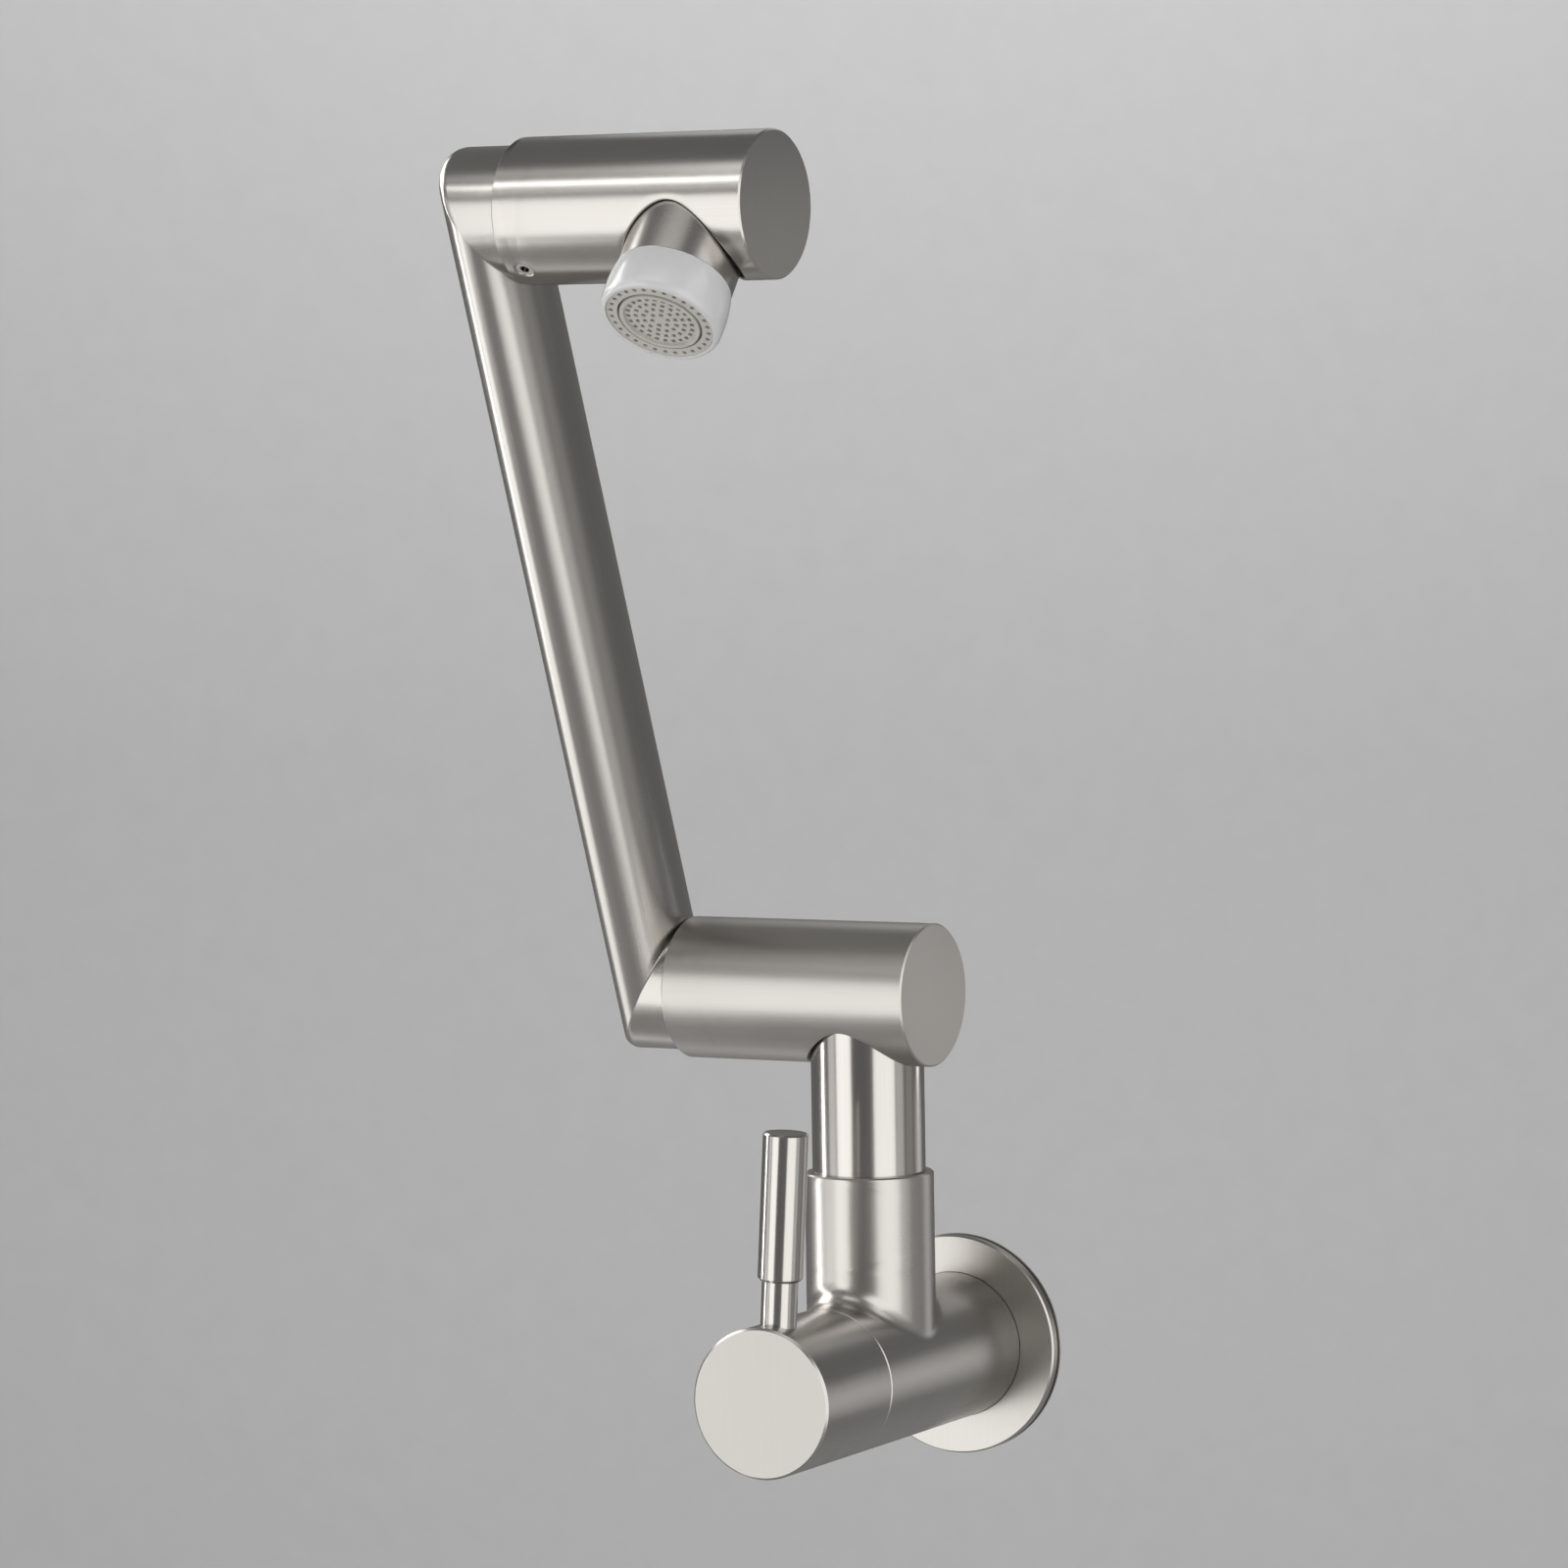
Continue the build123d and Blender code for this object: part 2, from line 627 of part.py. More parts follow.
def make_flow_regulator():
    body = rod(NOZZLE, INSERT_R - LOOSE, REGULATOR_FROM, REGULATOR_TO)
    jets = Sketch() + PolarLocations(JET_RING, JET_COUNT) * Circle(JET_R)
    return drilled(body, NOZZLE, jets, INSERT_FROM, PLATE_BACK)


def make_aerator_screens():
    return [rod(NOZZLE, INSERT_R - LOOSE, PLATE_BACK - b, PLATE_BACK - b + SCREEN_T) for b in SCREENS_BACK]


def make_aerator_housing():
    """Plastic cup: a threaded neck, a skirt that swells, and a rounded lip round the face."""
    neck = THREAD_R - RUN
    skirt = (NOZZLE_R + 0.15, NOZZLE_TO + RUN)
    swell = (SKIRT_R, FACE_AT - SKIRT_SWELL)
    turn = (SKIRT_R - SKIRT_DRAW, FACE_AT - SKIRT_TURN)
    lip = (LIP_R, FACE_AT)
    inner_lip = LIP_R - LIP_T
    with BuildSketch(Plane.XZ) as section:
        with BuildLine():
            Polyline((INSERT_R, INSERT_FROM), (neck, INSERT_FROM), (neck, skirt[1]), skirt)
            Spline(skirt, swell, turn, lip)
            Polyline(lip, (inner_lip, FACE_AT), (inner_lip, PLATE_BACK), (INSERT_R, PLATE_BACK),
                     (INSERT_R, INSERT_FROM))
        make_face()
    return NOZZLE * revolve(section.sketch, Axis.Z)


def make_aerator_face_ring():
    plate = ring(NOZZLE, LIP_R - LIP_T - RUN, FACE_RING_IN, PLATE_BACK, FACE_AT - FACE_SINK)
    holes = Sketch() + PolarLocations(INTAKE_RING, INTAKE_COUNT) * Circle(INTAKE_R)
    return drilled(plate, NOZZLE, holes, PLATE_BACK - 1, FACE_AT)


def make_aerator_outlet_plate():
    plate = rod(NOZZLE, OUTLET_R, PLATE_BACK, FACE_AT - OUTLET_SINK)
    plate += ring(NOZZLE, OUTLET_R, OUTLET_R - OUTLET_RIM, PLATE_BACK, FACE_AT - OUTLET_RIM_SINK)
    holes = Sketch()
    for radius, count in OUTLET_RINGS:
        holes += PolarLocations(radius, count) * Rectangle(OUTLET_HOLE, OUTLET_HOLE)
    return drilled(plate, NOZZLE, holes, PLATE_BACK - 1, FACE_AT)


PIECES = (
    make_wall_flange, make_flange_gasket, make_valve_body, make_inlet_nipple, make_inlet_washer,
    make_inlet_strainer, make_cartridge_body, make_cartridge_seal, make_cartridge_o_ring,
    make_fixed_disc, make_riser_lock_screw,
    make_handle_cap, make_lever, make_handle_grub_screw, make_spindle, make_spindle_o_ring,
    make_spindle_circlip, make_moving_disc,
    make_riser_tube, make_riser_o_rings, make_riser_wear_ring, make_lower_barrel,
    make_lower_end_disc, make_lower_core, make_lower_pivot_screw,
    make_arm_tube, make_lower_spigot, make_upper_spigot, make_lower_spigot_o_rings,
    make_upper_spigot_o_rings, make_lower_wear_ring, make_upper_wear_ring,
    make_lower_thrust_washer, make_upper_thrust_washer,
    make_upper_barrel, make_upper_end_disc, make_upper_core, make_upper_pivot_screw,
    make_nozzle_tube, make_nozzle_gasket, make_flow_regulator, make_aerator_screens,
    make_aerator_housing, make_aerator_face_ring, make_aerator_outlet_plate,
)

os.makedirs("parts", exist_ok=True)
for make in PIECES:
    name = make.__name__.removeprefix("make_")
    made = make()
    solids = made if isinstance(made, list) else made.solids()
    piece = solids[0] if len(solids) == 1 else Compound(children=list(solids))
    export_step(piece, f"parts/{name}.step")
    size = piece.bounding_box().size
    volume = sum(solid.volume for solid in solids)
    print(f"{name}: {len(solids)} solid, {volume:.1f} mm3, {size.X:.1f} x {size.Y:.1f} x {size.Z:.1f} mm")
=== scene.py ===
# %% [markdown]
# # A wall-mounted kitchen faucet in satin steel
# The packed model gives every piece its place and its motion. This lesson dresses it: each steel piece
# gets a smooth skin worked out from a formula, and every surface gets a finish made of nodes.

# %% Load the packed model
import json

import bmesh
import bpy
import numpy as np
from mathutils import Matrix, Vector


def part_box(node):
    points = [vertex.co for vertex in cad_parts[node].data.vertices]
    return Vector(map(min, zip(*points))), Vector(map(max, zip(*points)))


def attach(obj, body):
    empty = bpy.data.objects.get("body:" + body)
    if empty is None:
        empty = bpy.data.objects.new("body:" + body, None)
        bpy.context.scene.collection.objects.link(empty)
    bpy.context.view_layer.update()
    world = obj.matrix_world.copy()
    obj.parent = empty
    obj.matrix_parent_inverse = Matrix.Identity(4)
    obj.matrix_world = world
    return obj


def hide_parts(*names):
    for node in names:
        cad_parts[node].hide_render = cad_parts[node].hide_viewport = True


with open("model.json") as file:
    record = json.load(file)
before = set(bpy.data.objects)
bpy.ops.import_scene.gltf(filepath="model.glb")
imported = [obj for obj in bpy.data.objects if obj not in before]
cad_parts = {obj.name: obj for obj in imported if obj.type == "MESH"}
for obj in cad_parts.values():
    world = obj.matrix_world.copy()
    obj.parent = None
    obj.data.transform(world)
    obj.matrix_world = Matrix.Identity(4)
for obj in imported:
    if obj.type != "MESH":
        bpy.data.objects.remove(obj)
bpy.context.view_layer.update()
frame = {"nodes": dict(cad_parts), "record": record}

RECORD = frame["record"]
SLOT_OF = {part["node"]: part["material_slot"] for part in RECORD["subparts"]}
BODY_OF = {node: body for body, nodes in RECORD["behaviour"]["bodies"].items() for node in nodes}
SCENE = bpy.context.scene
MM = 0.001

# %% [markdown]
# ## The camera
# A long lens looks from the right, from a little above the faucet's middle. The three angles and the place
# were found by matching measured corners, so a point of the model falls on the same point of the picture.

# %% Camera
AZIMUTH, PITCH, ROLL = np.radians((28.604, -3.738, -0.949))
CAMERA_AT = (0.67402, -1.31789, 0.22618)
FOCAL_SHARE = 6598.189 / 1600
SENSOR = 36.0


def camera_axes():
    """Right, up and backward directions: level first, then rolled about the line of sight."""
    ahead = np.array((-np.sin(AZIMUTH) * np.cos(PITCH), np.cos(AZIMUTH) * np.cos(PITCH), np.sin(PITCH)))
    level = np.array((np.cos(AZIMUTH), np.sin(AZIMUTH), 0))
    upright = np.cross(level, ahead)
    right = np.cos(ROLL) * level + np.sin(ROLL) * upright
    return right, np.cross(right, ahead), -ahead


def stand(thing, axes, place):
    """Puts a camera or a lamp into the scene by its right, up and backward directions and its place."""
    pose = np.eye(4)
    pose[:3, :3] = np.stack(axes, axis=1)
    pose[:3, 3] = place
    SCENE.collection.objects.link(thing)
    thing.matrix_world = pose.T.tolist()


lens = bpy.data.cameras.new("studio_camera")
lens.sensor_width = SENSOR
lens.lens = SENSOR * FOCAL_SHARE
camera = bpy.data.objects.new("studio_camera", lens)
stand(camera, camera_axes(), CAMERA_AT)
SCENE.camera = camera
print("lens", round(lens.lens, 2), "mm")

# %% [markdown]
# ## From points to a mesh
# Every skin below is one or more grids of points. Neighbouring points make four-sided faces, points that
# fall together are welded, and edges that turn sharply keep a crisp line in an otherwise smooth skin.

# %% Grids to a mesh
WELD = 1e-6
CRISP = np.radians(28)


def grid_faces(rows, columns):
    """Corner numbers of each face: a point, its right neighbour, and the two of the next row."""
    first = np.arange(rows - 1)[:, None] * columns + np.arange(columns - 1)
    return np.stack((first, first + 1, first + columns + 1, first + columns), axis=-1).reshape(-1, 4)


def welded_mesh(name, dressed):
    """One closed mesh, faces outward. Each finish comes with its grids of points in millimetres."""
    grids = [grid for group in dressed.values() for grid in group]
    shapes = [grid.shape[:2] for grid in grids]
    starts = np.cumsum([0] + [rows * columns for rows, columns in shapes])
    points = np.concatenate([grid.reshape(-1, 3) for grid in grids]) * MM
    faces = np.concatenate([grid_faces(*shape) + start for shape, start in zip(shapes, starts)])
    mesh = bpy.data.meshes.new(name)
    mesh.from_pydata(points.tolist(), [], faces.tolist())
    for finish in dressed:
        mesh.materials.append(finish)
    group_of = np.repeat(np.arange(len(dressed)), [len(group) for group in dressed.values()])
    sizes = [(rows - 1) * (columns - 1) for rows, columns in shapes]
    mesh.polygons.foreach_set("material_index", np.repeat(group_of, sizes))
    work = bmesh.new()
    work.from_mesh(mesh)
    bmesh.ops.remove_doubles(work, verts=work.verts, dist=WELD)
    bmesh.ops.recalc_face_normals(work, faces=work.faces)
    open_edges = sum(not edge.is_manifold for edge in work.edges)
    work.to_mesh(mesh)
    work.free()
    mesh.polygons.foreach_set("use_smooth", np.ones(len(mesh.polygons), bool))
    mesh.set_sharp_from_angle(angle=CRISP)
    return mesh, open_edges


def add_skin(node, dressed):
    """The skin of one node: it hides the node, rides on its body and wears the finishes it is given."""
    mesh, open_edges = welded_mesh(node + "_skin", dressed)
    skin = bpy.data.objects.new(node + "_skin", mesh)
    SCENE.collection.objects.link(skin)
    low, high = (np.array(corner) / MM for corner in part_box(node))
    points = np.empty(len(mesh.vertices) * 3)
    mesh.vertices.foreach_get("co", points)
    points = points.reshape(-1, 3) / MM
    off = np.abs(np.concatenate((points.min(0) - low, points.max(0) - high))).max()
    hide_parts(node)
    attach(skin, BODY_OF[node])
    print(f"{node}: {len(mesh.polygons)} faces, {open_edges} open edges, box off by {off:.2f} mm")


print("a grid of 3 by 4 points has", len(grid_faces(3, 4)), "faces")

# %% [markdown]
# ## Round bars
# Nearly all of this faucet is turned or is pipe, so points are given round an axis: how far along, how
# far out, and at which angle. A pipe that leaves sideways has the same measures about its own axis.

# %% Measures round an axis
ROUND = 100


class Bar:
    """A straight axis: its start, its way along, and the directions at angles 0 and 90 degrees."""

    def __init__(self, start, along, zero, side):
        measures = (start, along, zero, side)
        self.start, self.along, self.zero, self.side = (np.array(one, float) for one in measures)

    def put(self, zero, side, along):
        """Points from three straight measures in the bar's own directions."""
        return self.start + sum(
            np.asarray(share)[..., None] * way
            for share, way in ((zero, self.zero), (side, self.side), (along, self.along))
        )

    def at(self, radius, along, angle):
        """Points at a radius, a distance along and an angle in degrees."""
        turn = np.radians(angle)
        return self.put(radius * np.cos(turn), radius * np.sin(turn), along + 0 * turn * radius)

    def branch(self, along, angle):
        """The bar that leaves this one's axis sideways: its angle 0 looks along the first bar."""
        turn = np.radians(angle)
        out = np.cos(turn) * self.zero + np.sin(turn) * self.side
        across = np.cos(turn) * self.side - np.sin(turn) * self.zero
        return Bar(self.start + along * self.along, out, self.along, across)


def turned(bar, outline, columns=ROUND):
    """A lathe skin: each outline point keeps its radius and its place, and its angle goes once round."""
    radius, along = np.array(outline, float).T[:, :, None]
    return bar.at(radius, along, np.linspace(0, 360, columns + 1)[None, :])


TEE_OUT, LOWER_Z = 45.0, 85.0
ARM_LENGTH, ARM_LEAN = 187.0, np.radians(21.1)
NOZZLE_X, NOZZLE_ANGLE = -1.0, 37.9
UP_ARM = np.array((0, -np.sin(ARM_LEAN), np.cos(ARM_LEAN)))
INLET = Bar((0, 0, 0), (0, -1, 0), (0, 0, 1), (1, 0, 0))
TEE = INLET.branch(TEE_OUT, 0)
LOWER = Bar((0, -TEE_OUT, LOWER_Z), (1, 0, 0), (0, 0, -1), (0, -1, 0))
UPPER = Bar(LOWER.start + ARM_LENGTH * UP_ARM, LOWER.along, LOWER.zero, LOWER.side)
RISER = LOWER.branch(0, 0)
NOZZLE = UPPER.branch(NOZZLE_X, NOZZLE_ANGLE)
print("upper barrel at", UPPER.start.round(3), "nozzle points along", NOZZLE.along.round(3))

# %% [markdown]
# ## Where a pipe meets a drum
# The tee's soft corner and the rounded edges of the holes are the same shape: the path of a ball that
# rolls in the corner and touches both round walls. The drum's skin is then a sheet that runs from the
# ball's track out to a plain rectangle, which is the drum unrolled.

# %% Rolling ball and the sheet round it
SEAM_STEPS = 20
FLOOR_RINGS = np.array((1, 0.6, 0.3, 0))[:, None]


def ball_track(drum, pipe, ball, side, turn):
    """Middle of the ball: pipe plus ball from one axis, drum plus or minus ball from the other."""
    along = (pipe + ball) * np.cos(turn)
    across = (pipe + ball) * np.sin(turn)
    reach = drum + side * ball
    return along, across, np.sqrt(reach ** 2 - across ** 2), reach


def rolled_corner(branch, drum, pipe, ball, side, turn, steps=8):
    """The corner's skin: an arc of the ball from where it touches the drum to where it touches the pipe."""
    along, across, up, reach = ball_track(drum, pipe, ball, side, turn)
    zero = 0 * turn
    middle = np.stack((along, across, up), axis=-1)
    to_drum = -side * np.stack((zero, across, up), axis=-1) / reach
    to_pipe = -np.stack((np.cos(turn), np.sin(turn), zero), axis=-1)
    bend = np.arccos(np.sum(to_drum * to_pipe, axis=-1))[:, None]
    share = np.linspace(0, 1, steps)[:, None, None]
    arc = (np.sin((1 - share) * bend) * to_drum + np.sin(share * bend) * to_pipe) / np.sin(bend)
    points = middle + ball * arc
    return branch.put(points[..., 0], points[..., 1], points[..., 2])


def sheet_round(bar, drum, low, high, where, angle, pipe, ball, side=-1, columns=ROUND, rows=24):
    """The drum's skin between two rings, left open along the ball's track.

    Each track point is joined by a straight line, on the unrolled drum, to a point of the rectangle's rim.
    Returns the skin and the angles of the track's points.
    """
    count = 2 * (columns + SEAM_STEPS)
    turn = np.radians(90 - (np.arange(count + 1) - SEAM_STEPS / 2) * 360 / count)
    along, across, up, _ = ball_track(drum, pipe, ball, side, turn)
    track = np.stack((angle + np.degrees(np.arctan2(across, up)), where + along))
    step = 360 / columns
    left = np.round(angle / step) * step - 180
    ring = np.linspace(left, left + 360, columns + 1)
    seam = np.linspace(low, high, SEAM_STEPS + 1)
    rim = np.stack((
        np.concatenate((np.full(SEAM_STEPS, left + 360), ring[:0:-1], np.full(SEAM_STEPS, left), ring)),
        np.concatenate((seam[:-1], np.full(columns, high), seam[:0:-1], np.full(columns + 1, low))),
    ))
    share = np.linspace(0, 1, rows)[:, None, None]
    sheet = track + share * (rim - track)
    return bar.at(drum, sheet[:, 1], sheet[:, 0]), turn


def blind_hole(branch, drum, pipe, ball, floor, turn):
    """A round hole's wall and floor. The floor follows a smaller drum, so it curves as the skin does."""
    top = ball_track(drum, pipe, ball, -1, turn)[2]
    radius = pipe * FLOOR_RINGS
    depth = np.sqrt(np.maximum(floor ** 2 - (radius * np.sin(turn)) ** 2, 0))
    radius = np.concatenate((radius[:1], radius))
    return branch.at(radius, np.concatenate((top[None], depth)), np.degrees(turn)[None, :])


def holed(bar, drum, low, high, where, angle, pipe, ball, floor, columns=ROUND):
    """A stretch of drum with one rounded blind hole in its side."""
    branch = bar.branch(where, angle)
    sheet, turn = sheet_round(bar, drum, low, high, where, angle, pipe, ball, columns=columns)
    lip = rolled_corner(branch, drum, pipe, ball, -1, turn)
    return [sheet, lip, blind_hole(branch, drum, pipe, ball, floor, turn)]


print("a track has", 2 * (ROUND + SEAM_STEPS), "points")

# %% [markdown]
# ## Writing shaders as sums
# A finish is easier to read as arithmetic than as a web of nodes. A wire is a socket that can be added,
# subtracted and multiplied, and each sign adds its own Math node.

# %% Wires and finishes
class Wire:
    """A socket that takes part in sums."""

    def __init__(self, finish, socket):
        self.finish = finish
        self.socket = socket

    def sign(self, operation, first, second):
        return self.finish.node("ShaderNodeMath", {"operation": operation}, {0: first, 1: second})

    def __add__(self, other):
        return self.sign("ADD", self, other)

    def __sub__(self, other):
        return self.sign("SUBTRACT", self, other)

    def __mul__(self, other):
        return self.sign("MULTIPLY", self, other)

    __radd__ = __add__
    __rmul__ = __mul__


class Finish:
    """A material, or the room round it, whose nodes are added one by one."""

    def __init__(self, owner, shader="Principled BSDF"):
        self.owner = owner
        owner.use_nodes = True
        self.tree = owner.node_tree
        self.shader = self.tree.nodes[shader]

    def feed(self, socket, value):
        """A wire is linked, and a plain value is set on the socket itself."""
        if isinstance(value, Wire):
            self.tree.links.new(value.socket, socket)
        else:
            socket.default_value = value

    def node(self, kind, settings, inputs, output=0):
        """Any node: its settings first, then its sockets. Gives the wire of one output."""
        made = self.tree.nodes.new(kind)
        for name, value in settings.items():
            setattr(made, name, value)
        for name, value in inputs.items():
            self.feed(made.inputs[name], value)
        return Wire(self, made.outputs[output])

    def surface(self, **inputs):
        for name, value in inputs.items():
            self.feed(self.shader.inputs[name.replace("_", " ")], value)
        return self.owner

    def noise(self, size, turn=(0, 0, 0), detail=2.0):
        """Cloudy values from 0 to 1. Size is a cell's length in metres, or one for each turned axis."""
        place = self.node("ShaderNodeTexCoord", {}, {}, "Object")
        cells = self.node("ShaderNodeMapping", {"vector_type": "TEXTURE"}, {
            "Vector": place, "Rotation": turn, "Scale": np.ones(3) * size,
        })
        return self.node("ShaderNodeTexNoise", {}, {"Vector": cells, "Scale": 1.0, "Detail": detail})

    def blend(self, share, first, second):
        """A colour between two, by share."""
        ends = {0: share, 6: (*first, 1), 7: (*second, 1)}
        return self.node("ShaderNodeMix", {"data_type": "RGBA"}, ends, 2)

    def bump(self, height, strength, distance):
        return self.node("ShaderNodeBump", {}, {"Height": height, "Strength": strength, "Distance": distance})


print("a wire's reflected signs", [name for name in vars(Wire) if name.startswith("__r")])

# %% [markdown]
# ## Satin steel
# The faucet is stainless steel that was combed with an abrasive belt. The belt leaves very fine parallel
# scratches, so the gloss changes from scratch to scratch and a highlight frays a little along its edge.
# Stretched noise gives the scratches, and a wide soft noise gives the slight cloudiness of a hand finish.

# %% Satin steel finishes
SCRATCH = 0.00018
STROKE = 0.030
STEEL_DARK = (0.50, 0.479, 0.450)
STEEL_LIGHT = (0.61, 0.586, 0.553)


def satin_steel(name, stroke, gloss, fray, turn=(0, 0, 0)):
    """Combed steel. Stroke is the scratch's size along each axis, gloss its mean roughness."""
    finish = Finish(bpy.data.materials.new(name))
    scratch = finish.noise(stroke, turn, 3.0)
    cloud = finish.noise(0.03)
    tone = 0.7 * scratch + 0.3 * cloud
    return finish.surface(
        Base_Color=finish.blend(tone, STEEL_DARK, STEEL_LIGHT),
        Metallic=1.0,
        Roughness=gloss + fray * (scratch - 0.5) + 0.06 * (cloud - 0.5),
        Normal=finish.bump(scratch, 0.12, 0.00002),
    )


ALONG_X = (STROKE, SCRATCH, SCRATCH)
ALONG_Y = (SCRATCH, STROKE, SCRATCH)
ALONG_Z = (SCRATCH, SCRATCH, STROKE)
barrel_steel = satin_steel("barrel_steel", ALONG_X, 0.23, 0.09)
soft_steel = satin_steel("soft_steel", ALONG_X, 0.34, 0.10)
valve_steel = satin_steel("valve_steel", ALONG_Y, 0.29, 0.09)
face_steel = satin_steel("face_steel", ALONG_Z, 0.30, 0.10)
matt_steel = satin_steel("matt_steel", ALONG_Z, 0.42, 0.12)
pipe_steel = satin_steel("pipe_steel", ALONG_Z, 0.17, 0.07)
arm_steel = satin_steel("arm_steel", ALONG_Z, 0.25, 0.09, (ARM_LEAN, 0, 0))
print("steel finishes", [m.name for m in bpy.data.materials if m.name.endswith("_steel")])

# %% [markdown]
# ## The wall flange
# A turned plate hides the hole in the wall. Its rim has a narrow groove between two fine bevels, and the
# back has a shallow channel for the gasket.

# %% Wall flange
FLANGE_R, FLANGE_T, FLANGE_HOLE = 25.2, 4.2, 16.8
RIM_BEVEL, GROOVE_R, GROOVE = 0.35, 24.4, (0.9, 2.1)
CHANNEL = (19.0, 23.0, 1.2)
flange_back = (
    (FLANGE_HOLE, FLANGE_T), (FLANGE_HOLE, 0), (CHANNEL[0], 0), (CHANNEL[0], CHANNEL[2]),
    (CHANNEL[1], CHANNEL[2]), (CHANNEL[1], 0), (FLANGE_R - RIM_BEVEL, 0), (FLANGE_R, RIM_BEVEL),
    (FLANGE_R, GROOVE[0]), (GROOVE_R, GROOVE[0]), (GROOVE_R, GROOVE[1]), (FLANGE_R, GROOVE[1]),
    (FLANGE_R, FLANGE_T - RIM_BEVEL), (FLANGE_R - RIM_BEVEL, FLANGE_T),
)
flange_face = ((FLANGE_R - RIM_BEVEL, FLANGE_T), (FLANGE_HOLE, FLANGE_T))
add_skin("wall_flange", {
    valve_steel: [turned(INLET, flange_back, 2 * ROUND)], face_steel: [turned(INLET, flange_face, 2 * ROUND)],
})

# %% [markdown]
# ## The valve body
# A thick round body comes out of the wall, and an upright socket grows out of it with a cast corner. The
# body is a sheet round the ball's track, the corner is the ball's own skin, and the socket is a pipe from
# there to its rim, with the lock screw's hole at the back.

# %% Valve body
BODY_R, BODY_FROM, SEAM, SEAM_BEVEL = 16.7, 0.6, 67.3, 0.2
SOCKET_R, SOCKET_TOP, SOCKET_BORE, SOCKET_FLOOR = 14.5, 44.9, 12.75, 22.0
CORNER, EDGE_BEVEL = 5.0, 0.35
NECK_Z, LOCK_Z, LOCK_FLOOR = 24.0, 33.0, 12.8
SCREW_HOLE, SCREW_LIP = 2.02, 0.4
CARTRIDGE_BORE, CARTRIDGE_FLOOR = 12, 40
INLET_BORE, INLET_FLOOR = 10.32, 20
BODY_TO = SEAM - SEAM_BEVEL
RIM_FROM = SOCKET_TOP - EDGE_BEVEL
body_sheet, track = sheet_round(INLET, BODY_R, BODY_FROM, BODY_TO, TEE_OUT, 0, SOCKET_R, CORNER, side=1)
corner = rolled_corner(TEE, BODY_R, SOCKET_R, CORNER, 1, track, steps=14)
corner_top = ball_track(BODY_R, SOCKET_R, CORNER, 1, track)[2]
neck_rows = corner_top + np.linspace(0, 1, 5)[:, None] * (NECK_Z - corner_top)
neck = TEE.at(SOCKET_R, neck_rows, np.degrees(track)[None, :])
fine = len(track) - 1
socket = holed(TEE, SOCKET_R, NECK_Z, RIM_FROM, LOCK_Z, 180, SCREW_HOLE, SCREW_LIP, LOCK_FLOOR, fine)
rim = turned(TEE, (
    (SOCKET_R, RIM_FROM), (SOCKET_R - EDGE_BEVEL, SOCKET_TOP), (SOCKET_BORE, SOCKET_TOP),
    (SOCKET_BORE, SOCKET_FLOOR), (0, SOCKET_FLOOR),
), fine)
front = turned(INLET, (
    (BODY_R, BODY_TO), (BODY_R - SEAM_BEVEL, SEAM), (CARTRIDGE_BORE, SEAM),
    (CARTRIDGE_BORE, CARTRIDGE_FLOOR), (0, CARTRIDGE_FLOOR),
))
back = turned(INLET, (
    (BODY_R, BODY_FROM), (INLET_BORE, BODY_FROM), (INLET_BORE, INLET_FLOOR), (0, INLET_FLOOR),
))
add_skin("valve_body", {valve_steel: [body_sheet, corner, neck, *socket, rim, front, back]})

# %% [markdown]
# ## The handle
# The cap turns on the valve's spindle. It is a turned cup with a fine bevel, and a grub screw underneath.
# The lever is a rod on a thinner neck, leaning a little to the right.

# %% Handle cap and lever
CAP_FROM, CAP_TO, CAP_BEVEL, CAP_INNER, CAVITY_TO = 67.6, 97.4, 0.5, 14.1, 74.8
LEVER_LEAN, LEVER_OUT, GRUB_OUT, GRUB_FLOOR = 3.55, 90.3, 79.0, 4.0
GRUB_ANGLE = 180 + LEVER_LEAN
SIDE_FROM = CAP_FROM + SEAM_BEVEL
SIDE_TO = CAP_TO - CAP_BEVEL
cap_side = holed(INLET, BODY_R, SIDE_FROM, SIDE_TO, GRUB_OUT, GRUB_ANGLE, SCREW_HOLE, SCREW_LIP, GRUB_FLOOR)
cap_edge = turned(INLET, ((BODY_R, SIDE_TO), (BODY_R - CAP_BEVEL, CAP_TO)))
cap_face = turned(INLET, ((BODY_R - CAP_BEVEL, CAP_TO), (0, CAP_TO)))
cap_back = turned(INLET, (
    (BODY_R, SIDE_FROM), (BODY_R - SEAM_BEVEL, CAP_FROM), (CAP_INNER, CAP_FROM),
    (CAP_INNER, CAVITY_TO), (0, CAVITY_TO),
))
add_skin("handle_cap", {valve_steel: [*cap_side, cap_edge, cap_back], matt_steel: [cap_face]})

LEVER = INLET.branch(LEVER_OUT, LEVER_LEAN)
PIN_R, PIN_FROM = 2.95, 6.5
NECK_R, NECK_FROM, NECK_TO = 4.0, 15.2, 26.3
ROD_R, ROD_TO, ROD_STEP, ROD_BEVEL = 5.0, 58.9, 0.7, 0.4
lever_outline = (
    (0, PIN_FROM), (PIN_R, PIN_FROM), (PIN_R, NECK_FROM), (NECK_R, NECK_FROM), (NECK_R, NECK_TO),
    (ROD_R - ROD_STEP, NECK_TO), (ROD_R, NECK_TO + ROD_STEP),
    (ROD_R, ROD_TO - ROD_BEVEL), (ROD_R - ROD_BEVEL, ROD_TO), (0, ROD_TO),
)
add_skin("lever", {pipe_steel: [turned(LEVER, lever_outline)]})

# %% [markdown]
# ## The barrels
# Two equal barrels carry the arm. Each has a wide hole for the pipe that leaves it, with a rounded lip,
# and a small hole for the screw that holds its pivot. The holes lie in two stretches of the same drum.

